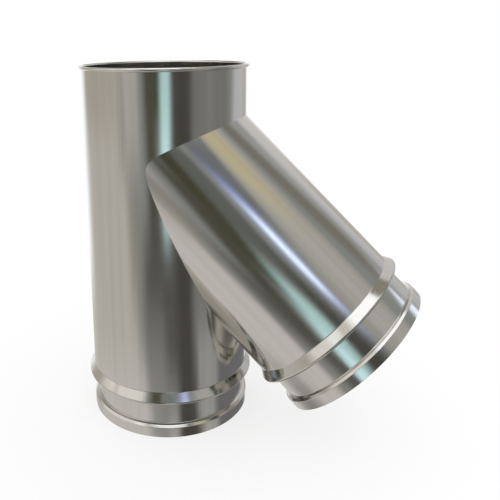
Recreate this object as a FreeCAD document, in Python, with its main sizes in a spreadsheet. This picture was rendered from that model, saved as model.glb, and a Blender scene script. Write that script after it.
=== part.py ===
import FreeCAD, Part
import math
import os
import Sketcher

# Angled tee of single-wall stainless sheet, as used in a flue or an air duct.
# A straight run tube stands upright, socket end up, and a branch tube of nearly
# the same size leaves it downwards at an angle. Both lower ends are rolled alike.
# Origin: centre of the run's lower end. +Z runs up the run, the branch leans to +X.

doc = FreeCAD.newDocument("angled_tee")

# Driving sizes, in millimetres and degrees
SIZES = [
    ("run_outer_dia", 150.0, "outside diameter of the run tube"),
    ("wall_thickness", 0.8, "sheet thickness of both tubes"),
    ("branch_undersize", 1.0, "how much smaller the branch tube is across"),
    ("branch_angle", 45.0, "angle between the branch and the lower run"),
    ("branch_straight", 27.0, "plain branch wall between the crotch and its bead"),
    ("crotch_straight", 29.0, "plain run wall between its bead and the crotch"),
    ("socket_straight", 48.0, "run wall above the saddle, to the top of the rim"),
    ("rim_bend_radius", 1.7, "inside radius of the curled rim"),
    ("rim_curl_angle", 270.0, "how far the sheet is curled round at the rim"),
    ("collar_length", 10.2, "end collar, from the open edge to its shoulder"),
    ("collar_rise", 0.6, "collar outside surface above the tube's"),
    ("shoulder_run", 1.2, "length of the shoulder along the tube"),
    ("neck_length", 22.4, "sunk neck between shoulder and bead"),
    ("neck_depth", 3.2, "neck outside surface below the tube's"),
    ("bead_under_run", 0.6, "length of the bead's steep side along the tube"),
    ("bead_flank_run", 9.6, "length of the bead's sloped side along the tube"),
    ("bead_rise", 5.9, "bead's sharp corner above the tube, before bending"),
    ("crest_radius", 1.0, "inside radius of the bead's bent crest"),
]

sheet = doc.addObject("Spreadsheet::Sheet", "sizes")
for row, (alias, value, note) in enumerate(SIZES, start=1):
    sheet.set(f"A{row}", alias)
    sheet.set(f"B{row}", str(value))
    sheet.setAlias(f"B{row}", alias)
    sheet.set(f"C{row}", note)
doc.recompute()

# Sizes that follow from the driving ones, written as expressions
WALL = "sizes.wall_thickness"
RUN_RADIUS = "(sizes.run_outer_dia / 2)"
BRANCH_RADIUS = "((sizes.run_outer_dia - sizes.branch_undersize) / 2)"
SIN = "sin(sizes.branch_angle)"
COS = "cos(sizes.branch_angle)"
CREST_BEND = "(sizes.crest_radius + sizes.wall_thickness)"
RIM_RADIUS = "(sizes.rim_bend_radius + sizes.wall_thickness)"

# A bend is drawn as straight strips inscribed in its round
CREST_STRIPS = 3
RIM_STRIPS = 6

# Distances from a rolled end's open edge to the corners of its profile
SHOULDER_TOP = "(sizes.collar_length + sizes.shoulder_run)"
BEAD_UNDERSIDE = f"({SHOULDER_TOP} + sizes.neck_length)"
BEAD_CORNER = f"({BEAD_UNDERSIDE} + sizes.bead_under_run)"
BEAD_TOP = f"({BEAD_CORNER} + sizes.bead_flank_run)"

# Where the branch's lowest and highest lines leave the run's wall, along the branch axis
CROTCH_REACH = f"(({RUN_RADIUS} + {BRANCH_RADIUS} * {COS}) / {SIN})"
SADDLE_REACH = f"(({RUN_RADIUS} - {BRANCH_RADIUS} * {COS}) / {SIN})"
BRANCH_LENGTH = f"({CROTCH_REACH} + sizes.branch_straight + {BEAD_TOP})"
CROSSING_HEIGHT = (
    f"({BEAD_TOP} + sizes.crotch_straight"
    f" + {CROTCH_REACH} * {COS} + {BRANCH_RADIUS} * {SIN})"
)
SADDLE_HEIGHT = f"({CROSSING_HEIGHT} - {SADDLE_REACH} * {COS} + {BRANCH_RADIUS} * {SIN})"
RUN_HEIGHT = f"({SADDLE_HEIGHT} + sizes.socket_straight)"
CURL_HEIGHT = f"({RUN_HEIGHT} - {RIM_RADIUS})"


def number(expression):
    """Value of an expression, in millimetres or degrees."""
    found = sheet.evalExpression(expression)
    return float(getattr(found, "Value", found))


def place_point(sketch, geometry, end, across, up):
    """Hold a sketch point at expressions for its distance from the axis and its height."""
    for kind, expression, zero_axis in (("DistanceX", across, -2), ("DistanceY", up, -1)):
        if expression == "0":
            sketch.addConstraint(Sketcher.Constraint("PointOnObject", geometry, end, zero_axis))
        else:
            index = sketch.addConstraint(
                Sketcher.Constraint(kind, -1, 1, geometry, end, number(expression))
            )
            sketch.setExpression(f"Constraints[{index}]", expression)


def new_sketch(body, name):
    """Sketch on the body's own XZ plane: across is X, up is Z."""
    sketch = body.newObject("Sketcher::SketchObject", name)
    plane = [f for f in body.Origin.OriginFeatures if f.Role == "XZ_Plane"][0]
    sketch.AttachmentSupport = (plane, [""])
    sketch.MapMode = "FlatFace"
    return sketch


def spin(body, name, sketch):
    """Turn a profile once round the tube's axis."""
    turned = body.newObject("PartDesign::Revolution", name)
    turned.Profile = sketch
    turned.ReferenceAxis = (sketch, ["V_Axis"])
    turned.Angle = 360.0
    doc.recompute()
    return turned


def bend_at(before, corner, after, radius):
    """Where an arc leaves and rejoins the two lines of a corner, and its centre."""
    back = (before - corner).normalize()
    ahead = (after - corner).normalize()
    half = back.getAngle(ahead) / 2
    tangent_length = radius / math.tan(half)
    centre = corner + (back + ahead).normalize() * (radius / math.sin(half))
    return corner + back * tangent_length, corner + ahead * tangent_length, centre


def chords_along(sketch, arc, count, backwards=False):
    """Equal straight strips inscribed in a guide arc; gives the first and last strip."""
    curve = sketch.Geometry[arc]
    first, last = curve.FirstParameter, curve.LastParameter
    if backwards:
        first, last = last, first
    turns = [first + (last - first) * step / count for step in range(count + 1)]
    points = [curve.value(turn) for turn in turns]
    strips = []
    for start, end in zip(points, points[1:]):
        strips.append(sketch.addGeometry(Part.LineSegment(start, end), False))
    for before, after in zip(strips, strips[1:]):
        sketch.addConstraint(Sketcher.Constraint("Coincident", before, 2, after, 1))
        sketch.addConstraint(Sketcher.Constraint("PointOnObject", after, 1, arc))
        sketch.addConstraint(Sketcher.Constraint("Equal", before, after))
    return strips[0], strips[-1]


def bent_outline(sketch, corners, strips):
    """Closed outline of straight lines. A bent corner has a tangent guide arc and strips in it."""
    points = [FreeCAD.Vector(number(across), number(up), 0) for across, up, _ in corners]
    count = len(corners)
    leaves = list(points)
    joins = list(points)
    guides = {}
    for index, (corner, (_, _, bend)) in enumerate(zip(points, corners)):
        if not bend:
            continue
        radius = number(bend)
        after = points[(index + 1) % count]
        leave, join, centre = bend_at(points[index - 1], corner, after, radius)
        angles = [math.atan2(end.y - centre.y, end.x - centre.x) for end in (leave, join)]
        left_turn = (corner - leave).cross(join - corner).z > 0
        first, last = angles if left_turn else reversed(angles)
        circle = Part.Circle(centre, FreeCAD.Vector(0, 0, 1), radius)
        guides[index] = (Part.ArcOfCircle(circle, first, last), left_turn)
        leaves[index] = leave
        joins[index] = join
    for index in range(count):
        end = leaves[(index + 1) % count]
        sketch.addGeometry(Part.LineSegment(joins[index], end), False)
    for index, (across, up, bend) in enumerate(corners):
        previous = (index - 1) % count
        if not bend:
            sketch.addConstraint(Sketcher.Constraint("Coincident", previous, 2, index, 1))
            place_point(sketch, index, 1, across, up)
            continue
        shape, left_turn = guides[index]
        guide = sketch.addGeometry(shape, True)
        first, last = (1, 2) if left_turn else (2, 1)
        sketch.addConstraint(Sketcher.Constraint("Tangent", previous, 2, guide, first))
        sketch.addConstraint(Sketcher.Constraint("Tangent", guide, last, index, 1))
        radius = sketch.addConstraint(Sketcher.Constraint("Radius", guide, number(bend)))
        sketch.setExpression(f"Constraints[{radius}]", bend)
        corner = sketch.addGeometry(Part.Point(points[index]), True)
        place_point(sketch, corner, 1, across, up)
        sketch.addConstraint(Sketcher.Constraint("PointOnObject", corner, 1, previous))
        sketch.addConstraint(Sketcher.Constraint("PointOnObject", corner, 1, index))
        start, end = chords_along(sketch, guide, strips, backwards=not left_turn)
        sketch.addConstraint(Sketcher.Constraint("Coincident", start, 1, previous, 2))
        sketch.addConstraint(Sketcher.Constraint("Coincident", end, 2, index, 1))


def flat_faces(shape):
    """Names of the flat end faces."""
    faces = enumerate(shape.Faces, start=1)
    return [f"Face{position}" for position, face in faces if isinstance(face.Surface, Part.Plane)]


def formed_tube(body, prefix, radius, length):
    """Tube with its rolled lower end: collar, shoulder, neck and stop bead, one even wall."""
    collar = f"({radius} + sizes.collar_rise)"
    neck = f"({radius} - sizes.neck_depth)"
    bead = f"({radius} + sizes.bead_rise)"
    outline = new_sketch(body, f"{prefix}_outline")
    corners = [
        ("0", "0", None),
        (collar, "0", None),
        (collar, "sizes.collar_length", None),
        (neck, SHOULDER_TOP, None),
        (neck, BEAD_UNDERSIDE, None),
        (bead, BEAD_CORNER, CREST_BEND),
        (radius, BEAD_TOP, None),
        (radius, length, None),
        ("0", length, None),
    ]
    bent_outline(outline, corners, CREST_STRIPS)
    solid = spin(body, f"{prefix}_solid", outline)

    # Hollowed to the sheet's thickness, open at both ends
    shell = body.newObject("PartDesign::Thickness", f"{prefix}_wall")
    shell.Base = (solid, flat_faces(solid.Shape))
    shell.Reversed = True
    shell.Join = "Intersection"
    shell.setExpression("Value", WALL)
    doc.recompute()


def cut_away(name, base, tool):
    """One piece less the space that another takes."""
    cut = doc.addObject("Part::Cut", name)
    cut.Label = name
    cut.Base = base
    cut.Tool = tool
    doc.recompute()
    return cut


# Run tube: rolled lower end, plain wall, socket with a curled rim
run_form = doc.addObject("PartDesign::Body", "run_form")
formed_tube(run_form, "run", RUN_RADIUS, CURL_HEIGHT)

# The rim's sheet curls outwards from the wall and back under itself
CURL_CENTRE = f"({RUN_RADIUS} + sizes.rim_bend_radius)"
CURL_END = "(180 - sizes.rim_curl_angle)"
curl = new_sketch(run_form, "rim_outline")
curl_centre = FreeCAD.Vector(number(CURL_CENTRE), number(CURL_HEIGHT), 0)
curl_end = math.radians(number(CURL_END))
skins = []
for bend in ("sizes.rim_bend_radius", RIM_RADIUS):
    circle = Part.Circle(curl_centre, FreeCAD.Vector(0, 0, 1), number(bend))
    guide = curl.addGeometry(Part.ArcOfCircle(circle, curl_end, math.pi), True)
    place_point(curl, guide, 3, CURL_CENTRE, CURL_HEIGHT)
    radius = curl.addConstraint(Sketcher.Constraint("Radius", guide, number(bend)))
    curl.setExpression(f"Constraints[{radius}]", bend)
    curl.addConstraint(Sketcher.Constraint("Horizontal", guide, 3, guide, 2))
    first, last = chords_along(curl, guide, RIM_STRIPS)
    curl.addConstraint(Sketcher.Constraint("Coincident", first, 1, guide, 1))
    curl.addConstraint(Sketcher.Constraint("Coincident", last, 2, guide, 2))
    skins.append((guide, first, last, circle))
(inner_guide, inner_first, inner_last, inner), (_, outer_first, outer_last, outer) = skins
free_line = Part.LineSegment(inner.value(curl_end), outer.value(curl_end))
free_edge = curl.addGeometry(free_line, False)
curl.addConstraint(Sketcher.Constraint("Coincident", free_edge, 1, inner_first, 1))
curl.addConstraint(Sketcher.Constraint("Coincident", free_edge, 2, outer_first, 1))
wall_line = Part.LineSegment(inner.value(math.pi), outer.value(math.pi))
wall_edge = curl.addGeometry(wall_line, False)
curl.addConstraint(Sketcher.Constraint("Coincident", wall_edge, 1, inner_last, 2))
curl.addConstraint(Sketcher.Constraint("Coincident", wall_edge, 2, outer_last, 2))
curl.addConstraint(Sketcher.Constraint("PointOnObject", inner_guide, 3, free_edge))
slant = curl.addConstraint(Sketcher.Constraint("Angle", free_edge, curl_end))
curl.setExpression(f"Constraints[{slant}]", f"{CURL_END} * 1 deg")
spin(run_form, "rim_curl", curl)

# Branch tube, drawn upright on its own open end and laid over to the branch's slant
branch_form = doc.addObject("PartDesign::Body", "branch_form")
formed_tube(branch_form, "branch", BRANCH_RADIUS, BRANCH_LENGTH)
BRANCH_PLACEMENT = (
    f"placement(vector({BRANCH_LENGTH} * {SIN}; 0; {CROSSING_HEIGHT} - {BRANCH_LENGTH} * {COS});"
    " rotation(vector(0; 1; 0); -sizes.branch_angle))"
)
branch_form.setExpression("Placement", BRANCH_PLACEMENT)

# The run is opened where the branch's bore meets it
branch_bore = doc.addObject("Part::Cylinder", "branch_bore")
branch_bore.setExpression("Radius", f"{BRANCH_RADIUS} - {WALL}")
branch_bore.setExpression("Height", BRANCH_LENGTH)
branch_bore.setExpression("Placement", BRANCH_PLACEMENT)
run_tube = cut_away("run_tube", run_form, branch_bore)

# The branch is mitred to a saddle that sits on the run's outside surface
run_outside = doc.addObject("Part::Cylinder", "run_outside")
run_outside.setExpression("Radius", RUN_RADIUS)
run_outside.setExpression("Height", RUN_HEIGHT)
branch_tube = cut_away("branch_tube", branch_form, run_outside)

# Every feature has to stand, and each piece has to be one sound solid
doc.recompute()
for feature in doc.Objects:
    if "Invalid" in feature.State or "Error" in feature.State:
        raise RuntimeError(f"{feature.Name} failed: {feature.State}")
os.makedirs("parts", exist_ok=True)
for piece in (run_tube, branch_tube):
    if piece.Shape.isNull() or not piece.Shape.isValid() or len(piece.Shape.Solids) != 1:
        raise RuntimeError(f"{piece.Label} is not one sound solid")
    piece.Shape.exportStep(f"parts/{piece.Label}.step")
    box = piece.Shape.BoundBox
    print(piece.Label, "volume", round(piece.Shape.Volume), "mm3, box", box)
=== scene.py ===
import math
import bpy
from mathutils import Matrix, Vector


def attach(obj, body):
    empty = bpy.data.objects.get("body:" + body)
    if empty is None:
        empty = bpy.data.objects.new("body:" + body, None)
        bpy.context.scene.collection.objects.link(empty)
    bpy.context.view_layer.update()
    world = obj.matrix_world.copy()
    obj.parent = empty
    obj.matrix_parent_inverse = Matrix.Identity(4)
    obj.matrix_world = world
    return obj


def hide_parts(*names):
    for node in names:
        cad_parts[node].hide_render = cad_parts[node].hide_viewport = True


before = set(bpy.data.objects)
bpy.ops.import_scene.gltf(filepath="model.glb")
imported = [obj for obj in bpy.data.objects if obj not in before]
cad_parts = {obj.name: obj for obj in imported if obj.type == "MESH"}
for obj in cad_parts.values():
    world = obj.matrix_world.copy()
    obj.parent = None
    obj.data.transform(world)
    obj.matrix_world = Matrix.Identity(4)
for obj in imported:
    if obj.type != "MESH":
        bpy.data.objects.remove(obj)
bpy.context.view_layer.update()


# Run tube. One piece of stainless steel sheet, rolled into a tube and seam-welded. Its lower end
# is rolled into a stop bead, a sunk neck and a collar, its upper edge is curled over outwards,
# and its side is opened where the branch joins. Sizes are in millimetres and degrees.
SHEET = 0.8
RUN_RADIUS = 75.0
RUN_HEIGHT = 329.6
COLLAR_RISE = 0.6
NECK_DEPTH = 3.2
BEAD_RISE = 5.9
CURL_RADIUS = 0.9
CURL_TURN = 270.0
BORE_RADIUS = 73.7
CROSSING_HEIGHT = 253.3589
BEND_STEP = 10.0
OPENING_STEPS = 120
PLAIN_STEPS = 234
MM = 0.001


def bend(before, corner, after, radius):
    """Points and outward normals of a round bend in a tube's outside profile."""
    way_in = (corner - before).normalized()
    way_out = (after - corner).normalized()
    turn = math.atan2(way_in.x * way_out.y - way_in.y * way_out.x, way_in.dot(way_out))
    side = 1 if turn > 0 else -1
    start = corner - way_in * radius * math.tan(abs(turn) / 2)
    normal = Vector((way_in.y, -way_in.x))
    centre = start - normal * radius * side
    steps = max(2, math.ceil(abs(math.degrees(turn)) / BEND_STEP))
    turned = [Matrix.Rotation(turn * k / steps, 2) @ normal for k in range(steps + 1)]
    return [(centre + n * radius * side, n) for n in turned]


def rolled_end(radius):
    """Outside profile of the rolled end, from the open edge up to the plain wall."""
    collar, neck, bead = radius + COLLAR_RISE, radius - NECK_DEPTH, radius + BEAD_RISE
    # Each corner's radius and height, and the radius of its bend
    corners = [
        (collar, 0.0, 0.0),
        (collar, 9.2, 0.6),
        (collar - 1.7, 11.1, 1.2),
        (neck, 12.0, 0.7),
        (neck, 33.8, 1.0),
        (bead, 34.4, 1.8),
        (radius, 44.0, 1.5),
        (radius, 60.0, 0.0),
    ]
    points = [Vector((across, up)) for across, up, _ in corners]
    profile = [(points[0], Vector((1.0, 0.0)))]
    for k in range(1, len(points) - 1):
        profile += bend(points[k - 1], points[k], points[k + 1], corners[k][2])
    return profile


def curled_rim(radius, height):
    """The wall's top edge, turned outwards and back under itself."""
    centre = Vector((radius + CURL_RADIUS, height - CURL_RADIUS - SHEET))
    steps = round(CURL_TURN / BEND_STEP)
    turns = [math.radians(-CURL_TURN * k / steps) for k in range(steps + 1)]
    normals = [Matrix.Rotation(a, 2) @ Vector((1.0, 0.0)) for a in turns]
    return [(centre - n * CURL_RADIUS, n) for n in normals]


def back_of(profile):
    """The sheet's other skin."""
    return [(point - normal * SHEET, -normal) for point, normal in profile]


def corner_at(angle, across, up, normal):
    """A face corner on a turned surface: its place and its normal."""
    c, s = math.cos(angle), math.sin(angle)
    return (across * c, across * s, up), (normal.x * c, normal.x * s, normal.y)


def spun(profile, angles, flip):
    """Faces of a profile turned once round the tube's axis."""
    faces = []
    for low, high in zip(profile, profile[1:]):
        for k, angle in enumerate(angles):
            after = angles[(k + 1) % len(angles)]
            face = [
                corner_at(angle, *low[0], low[1]),
                corner_at(after, *low[0], low[1]),
                corner_at(after, *high[0], high[1]),
                corner_at(angle, *high[0], high[1]),
            ]
            faces.append(face[::-1] if flip else face)
    return faces


def wall(radius, angles, floors, tops, side):
    """Faces of a plain round wall whose lower and upper edge may be wavy."""
    faces = []
    out = Vector((float(side), 0.0))
    for k, angle in enumerate(angles):
        after = (k + 1) % len(angles)
        face = [
            corner_at(angle, radius, floors[k], out),
            corner_at(angles[after], radius, floors[after], out),
            corner_at(angles[after], radius, tops[after], out),
            corner_at(angle, radius, tops[k], out),
        ]
        faces.append(face if side > 0 else face[::-1])
    return faces


def ring_of(angles, radius, heights):
    """The points of an edge that runs round a tube's axis."""
    return [(radius * math.cos(a), radius * math.sin(a), z) for a, z in zip(angles, heights)]


def edge_strip(first, second):
    """Flat faces that close the sheet's edge between its two skins."""
    faces = []
    for k in range(len(first)):
        after = (k + 1) % len(first)
        ring = [Vector(p) for p in (first[k], first[after], second[after], second[k])]
        normal = (ring[2] - ring[0]).cross(ring[3] - ring[1]).normalized()
        faces.append([(tuple(p), tuple(normal)) for p in ring])
    return faces


def formed(name, faces):
    """One welded mesh from faces whose corners each have a place and a normal."""
    places = {}
    polygons = []
    normals = []
    for face in faces:
        corners = {}
        for point, normal in face:
            key = tuple(round(c, 4) for c in point)
            corners.setdefault(places.setdefault(key, len(places)), normal)
        if len(corners) > 2:
            polygons.append(list(corners))
            normals += corners.values()
    mesh = bpy.data.meshes.new(name)
    mesh.from_pydata([Vector(p) * MM for p in places], [], polygons)
    mesh.normals_split_custom_set(normals)
    mesh.update()
    obj = bpy.data.objects.new(name, mesh)
    bpy.context.scene.collection.objects.link(obj)
    return obj


def opening_edge(radius, turn):
    """Angle, lower and upper height where the branch's bore cuts a skin of the run."""
    angle = math.asin(BORE_RADIUS * math.sin(turn) / radius)
    middle = CROSSING_HEIGHT - radius * math.cos(angle)
    half = math.sqrt(2) * BORE_RADIUS * math.cos(turn)
    return angle, middle - half, middle + half


end_profile = rolled_end(RUN_RADIUS)
rim_profile = curled_rim(RUN_RADIUS, RUN_HEIGHT)
run_faces = []
hole_edges = []
bottom_edges = []
rim_edges = []
for lower, upper, side in (
    (end_profile, rim_profile, 1),
    (back_of(end_profile), back_of(rim_profile), -1),
):
    radius = lower[-1][0].x
    turns = [math.radians(180 * k / OPENING_STEPS - 90) for k in range(OPENING_STEPS + 1)]
    cuts = [opening_edge(radius, turn) for turn in turns]
    widest, middle, _ = cuts[-1]
    plain_width = 2 * math.pi - 2 * widest
    plain = [widest + plain_width * k / PLAIN_STEPS for k in range(1, PLAIN_STEPS)]
    angles = [cut[0] for cut in cuts] + plain
    # Away from the opening, the lower and upper wall meet at its middle height
    below = [cut[1] for cut in cuts] + [middle] * len(plain)
    above = [cut[2] for cut in cuts] + [middle] * len(plain)
    run_faces += spun(lower, angles, side < 0) + spun(upper, angles, side < 0)
    run_faces += wall(radius, angles, [lower[-1][0].y] * len(angles), below, side)
    run_faces += wall(radius, angles, above, [upper[0][0].y] * len(angles), side)
    under = ring_of(angles[:len(cuts)], radius, below)
    over = ring_of(angles[:len(cuts)], radius, above)
    hole_edges.append(under + over[-2:0:-1])
    bottom_edges.append(ring_of(angles, lower[0][0].x, [lower[0][0].y] * len(angles)))
    rim_edges.append(ring_of(angles, upper[-1][0].x, [upper[-1][0].y] * len(angles)))
run_faces += edge_strip(hole_edges[0], hole_edges[1])
run_faces += edge_strip(bottom_edges[1], bottom_edges[0])
run_faces += edge_strip(rim_edges[0], rim_edges[1])
run = formed("run_tube_sheet", run_faces)


def linear(hex_colour):
    """An sRGB hex colour as linear RGBA."""
    parts = [int(hex_colour[k:k + 2], 16) / 255 for k in (1, 3, 5)]
    return [p / 12.92 if p <= 0.04045 else ((p + 0.055) / 1.055) ** 2.4 for p in parts] + [1.0]


def add(tree, kind, settings=None, **links):
    """One node with its settings, and its inputs set to values or linked from sockets.

    An input goes by its name, with _ for a space, or by _ and its number.
    """
    node = tree.nodes.new(kind)
    for key, value in (settings or {}).items():
        setattr(node, key, value)
    for key, value in links.items():
        which = int(key[1:]) if key[1:].isdigit() else key.replace("_", " ")
        socket = node.inputs[which]
        if isinstance(value, bpy.types.NodeSocket):
            tree.links.new(value, socket)
        else:
            socket.default_value = value
    return node


# Stainless steel, bright annealed sheet: nearly a mirror. Slight waves in the rolled sheet bend
# what it mirrors, faint streaks run along the tube, and handling leaves it duller in patches
steel = bpy.data.materials.new("stainless_steel_bright_annealed_sheet")
steel.use_nodes = True
tree = steel.node_tree
tree.nodes.clear()
place = add(tree, "ShaderNodeTexCoord").outputs["Object"]

# Waves about 45 mm long and up to 0.02 mm deep, from rolling the sheet round
waves = add(tree, "ShaderNodeTexNoise", Vector=place, Scale=22.0, Detail=1.0, Roughness=0.4)
swell = add(tree, "ShaderNodeBump", Height=waves.outputs["Fac"], Distance=0.00002, Strength=1.0)

# Streaks of the sheet's rolling grain along the tube. Real ones are well under 1 mm apart, too
# fine to show, so they are drawn about 8 mm apart, lighter and darker
long_way = add(tree, "ShaderNodeMapping", Vector=place, Scale=(130.0, 130.0, 2.5))
streaks = add(tree, "ShaderNodeTexNoise", Vector=long_way.outputs["Vector"], Scale=1.0, Detail=2.0)
flats = add(
    tree, "ShaderNodeBump",
    Height=streaks.outputs["Fac"], Distance=0.000003, Strength=1.0, Normal=swell.outputs["Normal"],
)
tint = add(
    tree, "ShaderNodeMapRange",
    Value=streaks.outputs["Fac"], From_Min=0.3, From_Max=0.7, To_Min=0.0, To_Max=1.0,
)
tone = add(tree, "ShaderNodeMix", {"data_type": "RGBA"}, _0=tint.outputs["Result"])
tone.inputs[6].default_value = linear("#C9C6C0")
tone.inputs[7].default_value = linear("#D1CEC8")

# Lines round the tube from the forming rolls, duller than the sheet between them. Real ones are
# 0.1 to 0.3 mm apart, too fine to show, so they are drawn about 1.5 mm apart
round_way = add(tree, "ShaderNodeMapping", Vector=place, Scale=(9.0, 9.0, 650.0))
lines = add(tree, "ShaderNodeTexNoise", Vector=round_way.outputs["Vector"], Scale=1.0, Detail=2.0)

# Handling marks some 30 to 80 mm across, which only dull the mirror a little
smears = add(tree, "ShaderNodeTexNoise", Vector=place, Scale=18.0, Detail=5.0, Roughness=0.6)
dulled = add(
    tree, "ShaderNodeMapRange",
    Value=smears.outputs["Fac"], From_Min=0.35, From_Max=0.75, To_Min=0.08, To_Max=0.13,
)
rolled = add(
    tree, "ShaderNodeMath", {"operation": "MULTIPLY_ADD"},
    _0=lines.outputs["Fac"], _1=0.05, _2=dulled.outputs["Result"],
)

# Hairline scratches, drawn 0.5 mm wide because real ones are too fine to show
swirl = add(tree, "ShaderNodeTexNoise", Vector=place, Scale=7.0, Detail=0.0, Distortion=0.6)
offset = add(tree, "ShaderNodeMath", {"operation": "SUBTRACT"}, _0=swirl.outputs["Fac"], _1=0.5)
crest = add(tree, "ShaderNodeMath", {"operation": "ABSOLUTE"}, _0=offset.outputs["Value"])
hair = add(
    tree, "ShaderNodeMapRange",
    Value=crest.outputs["Value"], From_Min=0.0, From_Max=0.003, To_Min=0.06, To_Max=0.0,
)
gloss = add(
    tree, "ShaderNodeMath", {"operation": "ADD"},
    _0=rolled.outputs["Value"], _1=hair.outputs["Result"],
)
shader = add(
    tree, "ShaderNodeBsdfPrincipled",
    Base_Color=tone.outputs[2], Metallic=1.0, Roughness=gloss.outputs["Value"],
    Normal=flats.outputs["Normal"],
)
add(tree, "ShaderNodeOutputMaterial", Surface=shader.outputs["BSDF"])

run.data.materials.append(steel)
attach(run, "root")
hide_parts("run_tube")


# Branch tube. One piece of the same sheet, rolled 1 mm smaller and seam-welded. Its lower end is
# rolled like the run's, and its upper end is mitred to a saddle and fused to the run's outside.
BRANCH_RADIUS = 74.5
BRANCH_LENGTH = 251.5662
BRANCH_TILT = 45.0


def saddle_height(radius, angle):
    """Where a line of the branch's wall meets the run's outside, above the branch's open edge."""
    across = math.sqrt(RUN_RADIUS ** 2 - (radius * math.sin(angle)) ** 2)
    return BRANCH_LENGTH - (math.sqrt(2) * across - radius * math.cos(angle))


# The saddle's edge turns fastest at the run's sides, so the points lie closer together there
quarter = [2.0 * k for k in range(36)] + [72.0 + k for k in range(18)]
half = quarter + [180.0 - a for a in [90.0] + quarter[:0:-1]]
angles = [math.radians(a) for a in half + [180.0 + a for a in half]]
end_profile = rolled_end(BRANCH_RADIUS)
branch_faces = []
open_edges = []
saddle_edges = []
for lower, side in ((end_profile, 1), (back_of(end_profile), -1)):
    radius = lower[-1][0].x
    heights = [saddle_height(radius, angle) for angle in angles]
    branch_faces += spun(lower, angles, side < 0)
    branch_faces += wall(radius, angles, [lower[-1][0].y] * len(angles), heights, side)
    open_edges.append(ring_of(angles, lower[0][0].x, [lower[0][0].y] * len(angles)))
    saddle_edges.append(ring_of(angles, radius, heights))
branch_faces += edge_strip(open_edges[1], open_edges[0])
branch_faces += edge_strip(saddle_edges[0], saddle_edges[1])
branch = formed("branch_tube_sheet", branch_faces)
lean = math.radians(BRANCH_TILT)
branch.location = (
    BRANCH_LENGTH * math.sin(lean) * MM,
    0.0,
    (CROSSING_HEIGHT - BRANCH_LENGTH * math.cos(lean)) * MM,
)
branch.rotation_euler = (0.0, -lean, 0.0)

# The same sheet with one faint scratch round the branch, two dashes about 5 mm long and 0.6 mm
# wide. A scratch breaks the mirror, so it looks paler and duller than the sheet. Each dash has
# its middle, in metres from the branch's open end, and its turn in degrees
scratched = steel.copy()
scratched.name = "stainless_steel_bright_annealed_sheet_scratched"
tree = scratched.node_tree
shader = tree.nodes["Principled BSDF"]
place = add(tree, "ShaderNodeTexCoord").outputs["Object"]
DASHES = [((0.0518, -0.0535, 0.0613), 44.0), ((0.0581, -0.0466, 0.0621), 51.0)]
HALF_DASH = (0.0025, 0.0010, 0.0003)
marks = []
for middle, turn in DASHES:
    dash = add(
        tree, "ShaderNodeMapping", {"vector_type": "TEXTURE"},
        Vector=place, Location=middle, Rotation=(0.0, 0.0, math.radians(turn)), Scale=HALF_DASH,
    )
    reach = add(
        tree, "ShaderNodeVectorMath", {"operation": "LENGTH"}, Vector=dash.outputs["Vector"],
    )
    marks.append(add(
        tree, "ShaderNodeMapRange",
        Value=reach.outputs["Value"], From_Min=0.5, From_Max=1.0, To_Min=0.5, To_Max=0.0,
    ))
mark = add(
    tree, "ShaderNodeMath", {"operation": "ADD"},
    _0=marks[0].outputs["Result"], _1=marks[1].outputs["Result"],
)
rough = add(
    tree, "ShaderNodeMath", {"operation": "ADD"},
    _0=shader.inputs["Roughness"].links[0].from_socket, _1=mark.outputs["Value"],
)
pale = add(tree, "ShaderNodeMix", {"data_type": "RGBA"}, _0=mark.outputs["Value"])
pale.inputs[7].default_value = linear("#FFFFFF")
tree.links.new(shader.inputs["Base Color"].links[0].from_socket, pale.inputs[6])
tree.links.new(pale.outputs[2], shader.inputs["Base Color"])
tree.links.new(rough.outputs["Value"], shader.inputs["Roughness"])

branch.data.materials.append(scratched)
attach(branch, "root")
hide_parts("branch_tube")


# Floor. A wide sheet of matt white paper that the tee stands on, with the tee's own soft shadow.
# Away from the tee the camera sees it as plain white. Inside the run tube no light reaches it, so
# a black disc there, seen only in the steel's reflections, is painted shade. Sizes are in metres.
FLOOR_REACH = 6.0
FLOOR_GAP = 0.0002
INSIDE_RADIUS = 0.072
INSIDE_GAP = 0.0003


def sheet_of(name, points, material):
    """A flat object in the floor's plane."""
    mesh = bpy.data.meshes.new(name)
    mesh.from_pydata(points, [], [list(range(len(points)))])
    mesh.materials.append(material)
    obj = bpy.data.objects.new(name, mesh)
    bpy.context.scene.collection.objects.link(obj)
    return obj


paper = bpy.data.materials.new("white_paper_matt")
paper.use_nodes = True
tree = paper.node_tree
tree.nodes.clear()
card = add(tree, "ShaderNodeBsdfDiffuse", Color=linear("#FFFFFF"))
plain = add(tree, "ShaderNodeEmission", Strength=1.0)
spot = add(tree, "ShaderNodeTexCoord").outputs["Object"]
reach = add(tree, "ShaderNodeVectorMath", {"operation": "LENGTH"}, Vector=spot)
away = add(
    tree, "ShaderNodeMapRange", {"interpolation_type": "SMOOTHSTEP"},
    Value=reach.outputs["Value"], From_Min=0.08, From_Max=0.35, To_Min=0.75, To_Max=1.0,
)
seen = add(tree, "ShaderNodeLightPath").outputs["Is Camera Ray"]
share = add(tree, "ShaderNodeMath", {"operation": "MULTIPLY"}, _0=away.outputs["Result"], _1=seen)
white = add(
    tree, "ShaderNodeMixShader",
    _0=share.outputs["Value"], _1=card.outputs["BSDF"], _2=plain.outputs["Emission"],
)
add(tree, "ShaderNodeOutputMaterial", Surface=white.outputs["Shader"])
ends = ((-1, -1), (1, -1), (1, 1), (-1, 1))
corners = [(FLOOR_REACH * x, FLOOR_REACH * y, -FLOOR_GAP) for x, y in ends]
floor = sheet_of("floor", corners, paper)
floor.visible_glossy = False

# A matt black disc on the floor inside the run tube, which only the steel mirrors: painted shade
# for the floor in the tube's shadow
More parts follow.
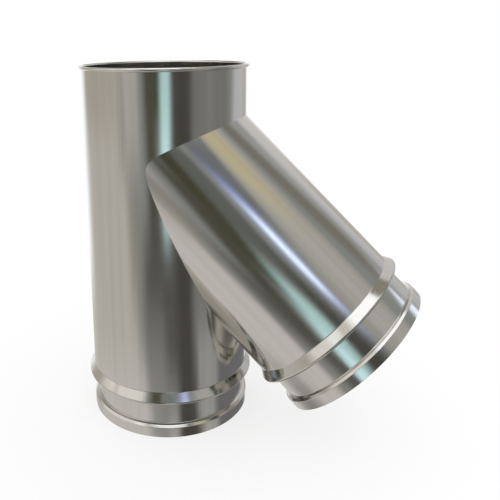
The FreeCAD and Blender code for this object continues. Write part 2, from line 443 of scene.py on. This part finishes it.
shade = bpy.data.materials.new("painted_shade_floor_black")
shade.use_nodes = True
shader = shade.node_tree.nodes["Principled BSDF"]
shader.inputs["Base Color"].default_value = linear("#000000")
shader.inputs["Specular IOR Level"].default_value = 0.0
turns = [math.radians(6 * k) for k in range(60)]
ring = [(INSIDE_RADIUS * math.cos(a), INSIDE_RADIUS * math.sin(a), -INSIDE_GAP) for a in turns]
inside = sheet_of("painted_shade_floor_inside", ring, shade)
inside.visible_camera = False
inside.visible_diffuse = False
inside.visible_shadow = False


# Studio surround. Pale walls, dark gaps between them and a few bright panels stand round the
# tee, and only its mirror-like sheet shows them: the camera and the floor see plain white.
SURROUND_RADIUS = 4.0
SURROUND_COLUMNS = 240
SURROUND_ROWS = 120
PLAIN_WALL = "#9EA3A2"

# Each panel's name, west and east azimuth, low and high elevation, lean, soft edge at the sides
# and at the top and bottom, colour and strength. Angles are in degrees: azimuth 0 is towards -Y
# and 90 towards +X. A later panel lies over an earlier one, and a strength above 1 is brighter
# than white paper, as a window is. This list was not designed by hand: a numeric fit worked it
# out from the colours that the photograph shows on the tubes. 28 rows and the plain wall's colour
# stand as the fit gave them, 10 were changed and 7 were added
WALLS = [
    ("left wall", -200, -31, -34, 30, -0.19, 14, 8, "#D3D0CA", 1.0),
    ("left back", -200, -119, -20, 16, 0.0, 25, 10, "#F9FBFF", 1.15),
    ("low floor", -200, 200, -90, -34, 0.0, 20, 8, "#D8D6D2", 1.0),
    ("left lower", -119, -11, -90, -28, 0.43, 18, 8, "#E1DEDC", 1.0),
    ("left wall top", -118, -50, -4, 12, 0.0, 14, 6, "#C4BEB6", 1.0),
    ("upper left", -92, -16, 9, 62, 0.08, 14, 12, "#FFFCF9", 1.03),
    ("left slope", -36, -16, -24, 2, -0.28, 14, 8, "#A5A3A0", 1.0),
    ("left edge", -36, -17, -8, 14, -0.11, 6, 9, "#C9C7C4", 1.0),
    ("left gap", -47, -39, -9, 8, -0.01, 5, 6, "#ADABA3", 1.0),
    ("left streak", -66, -62, -27, 20, 0.21, 6, 12, "#C9C7C3", 1.0),
    ("left slant", -45, -44, -34, 10, 0.12, 6, 12, "#DEE1E2", 1.0),
    ("left low streak", -28, -28, -36, -19, 0.09, 7, 6, "#E7E7DF", 1.0),
    ("front dark", -7, 8, -21, 10, -0.26, 11, 7, "#59584F", 1.0),
    ("front low", -14, 36, -31, -15, -0.18, 18, 9, "#62615C", 1.0),
    ("front floor", -10, 16, -37, -25, -0.43, 14, 14, "#9D9E9C", 1.0),
    ("front up", -9, 28, 8, 30, -0.38, 7, 5, "#717572", 1.0),
    ("front up streak", -2, 11, -4, 33, -0.33, 6, 3, "#525141", 1.0),
    ("right dark", 29, 65, -45, 15, -0.15, 12, 12, "#53514D", 1.0),
    ("tinted window", 13, 26, -13, 4, 0.1, 8, 6, "#D1FBFF", 1.07),
    ("tinted window core", 15, 23, -15, -5, 0.0, 6, 4, "#D2F4FF", 1.45),
    ("right wall", 55, 116, -29, 17, 0.11, 13, 12, "#8C8C8B", 1.0),
    ("right wall streak", 78, 86, -30, 19, 0.0, 6, 12, "#949596", 1.0),
    ("right back", 125, 158, -40, 37, 0.36, 13, 12, "#D2D4D9", 1.0),
    ("far right", 146, 178, 4, 62, -0.15, 10, 10, "#E6E4E5", 1.0),
    ("far right low", 156, 170, -20, 13, -0.07, 9, 10, "#C9C4C0", 1.0),
    ("right low", 60, 92, -34, -25, 0.0, 8, 5, "#AFB0B0", 1.0),
    # Darker floor to the right, under the branch: painted shadow of the tee on the floor
    ("right floor in shadow", 94, 165, -48, -24, 0.0, 14, 6, "#7C7C7F", 1.0),
    # Darker floor straight under the tee: painted shadow of the tee on the floor
    ("floor in shadow under the tee", -200, 200, -90, -62, 0.0, 20, 16, "#8A8886", 1.0),
    ("behind", 172, 200, -40, 16, -0.04, 6, 12, "#EEEBEB", 1.0),
    ("behind left", -200, -176, -40, 16, 0.0, 6, 12, "#FFFEFC", 1.08),
    ("upper right", 52, 98, 15, 54, 0.09, 11, 9, "#B7B5B2", 1.0),
    ("upper right gap", 127, 139, 16, 50, -0.07, 8, 12, "#B3B6B8", 1.0),
    ("upper gap", 109, 126, 23, 56, -0.54, 12, 10, "#8D8982", 1.0),
    ("upper gap front", 27, 51, 31, 50, 0.0, 8, 6, "#7F8288", 1.0),
    ("warm panel", 57, 93, 22, 62, 0.0, 20, 10, "#C9C9C6", 1.0),
    ("warm lamp", 57, 86, 40, 58, 0.0, 14, 10, "#DBD2B2", 1.0),
    ("violet edge", 33, 43, 26, 33, -0.67, 6, 5, "#96A6EA", 1.0),
    ("window", 34, 46, 18, 30, -0.6, 6, 6, "#BECAFF", 1.3),
    ("window core", 37, 43, 20, 28, -0.6, 5, 5, "#DEF1FF", 2.3),
    ("far window", 116, 129, 15, 21, -0.13, 3, 3, "#E3EDFF", 1.97),
    ("upper left lamp", -38, -24, 31, 46, -0.01, 8, 8, "#F8FBFF", 1.36),
    ("ceiling beam", -26, -12, 44, 60, -0.01, 6, 8, "#E4DFD0", 1.0),
    ("ceiling", -200, 200, 63, 90, 0.0, 20, 8, "#F7FAFF", 1.72),
    ("ceiling front", -14, 44, 46, 90, 0.0, 8, 6, "#F7FAFF", 1.72),
    ("ceiling corner", 110, 158, 55, 81, -0.17, 16, 7, "#9D9A8C", 1.0),
]


def soft_step(distance, edge):
    """0 to 1 across a soft edge."""
    t = min(max(distance / edge + 0.5, 0.0), 1.0)
    return t * t * (3 - 2 * t)


def surround_light(azimuth, elevation):
    """The surround's light in one direction, panel over panel. A panel may lean sideways."""
    light = Vector(linear(PLAIN_WALL)[:3])
    for _, west, east, low, high, lean, side_edge, flat_edge, colour, strength in WALLS:
        place = azimuth - lean * (min(max(elevation, low), high) - (low + high) / 2)
        share = soft_step(place - west, side_edge) * soft_step(east - place, side_edge)
        share *= soft_step(elevation - low, flat_edge) * soft_step(high - elevation, flat_edge)
        light = light.lerp(Vector(linear(colour)[:3]) * strength, share)
    return light


lights = []
points = []
for row in range(SURROUND_ROWS + 1):
    elevation = -90 + 180 * row / SURROUND_ROWS
    for column in range(SURROUND_COLUMNS):
        azimuth = -180 + 360 * column / SURROUND_COLUMNS
        a, e = math.radians(azimuth), math.radians(elevation)
        points.append(Vector((math.sin(a) * math.cos(e), -math.cos(a) * math.cos(e), math.sin(e))))
        lights += [*surround_light(azimuth, elevation), 1.0]
quads = []
for row in range(SURROUND_ROWS):
    for column in range(SURROUND_COLUMNS):
        start = row * SURROUND_COLUMNS + column
        after = row * SURROUND_COLUMNS + (column + 1) % SURROUND_COLUMNS
        quads.append((start, after, after + SURROUND_COLUMNS, start + SURROUND_COLUMNS))
surround_mesh = bpy.data.meshes.new("studio_surround")
surround_mesh.from_pydata([p * SURROUND_RADIUS for p in points], [], quads)
glow = surround_mesh.attributes.new("light", "FLOAT_COLOR", "POINT")
glow.data.foreach_set("color", lights)
surround = bpy.data.objects.new("studio_surround", surround_mesh)
bpy.context.scene.collection.objects.link(surround)
panels = bpy.data.materials.new("painted_panels_lit")
panels.use_nodes = True
tree = panels.node_tree
tree.nodes.clear()
painted = add(tree, "ShaderNodeAttribute", {"attribute_name": "light"})
shine = add(tree, "ShaderNodeEmission", Color=painted.outputs["Color"], Strength=1.0)
add(tree, "ShaderNodeOutputMaterial", Surface=shine.outputs["Emission"])
panels.cycles.emission_sampling = "NONE"
surround.data.materials.append(panels)
surround.visible_camera = False
surround.visible_diffuse = False
surround.visible_shadow = False
surround.visible_transmission = False

world = bpy.data.worlds.new("white_studio")
bpy.context.scene.world = world
world.use_nodes = True
tree = world.node_tree
tree.nodes.clear()
air = add(tree, "ShaderNodeBackground", Color=linear("#FFFFFF"), Strength=1.0)
add(tree, "ShaderNodeOutputWorld", Surface=air.outputs["Background"])
bpy.context.scene.view_settings.view_transform = "Standard"


# Camera. It stands a little above the rim, half a metre from the run, and looks slightly
# down and to the left. Its place, angles and focal length come from a numeric fit to the
# photograph's outlines, and the shift is the photograph's own framing. Angles are in radians.
SENSOR_WIDTH = 36.0
PICTURE_WIDTH = 500
FOCAL_PIXELS = 615.8404
CAMERA_PLACE = (193.1953, -534.1491, 353.7673)
camera_data = bpy.data.cameras.new("camera")
camera_data.sensor_width = SENSOR_WIDTH
camera_data.lens = FOCAL_PIXELS / PICTURE_WIDTH * SENSOR_WIDTH
camera_data.shift_x = 0.13
camera_data.shift_y = -0.16
camera_data.clip_start = 0.01
camera = bpy.data.objects.new("camera", camera_data)
bpy.context.scene.collection.objects.link(camera)
yaw, pitch, roll = -0.3160855, 0.2140403, -0.0153789
level = math.cos(pitch)
ahead = Vector((math.sin(yaw) * level, math.cos(yaw) * level, -math.sin(pitch)))
right = Vector((math.cos(yaw), -math.sin(yaw), 0.0))
up = right.cross(ahead)
across = right * math.cos(roll) + up * math.sin(roll)
upright = up * math.cos(roll) - right * math.sin(roll)
turned = Matrix((across, upright, -ahead)).transposed().to_4x4()
camera.matrix_world = Matrix.Translation(Vector(CAMERA_PLACE) * MM) @ turned
bpy.context.scene.camera = camera
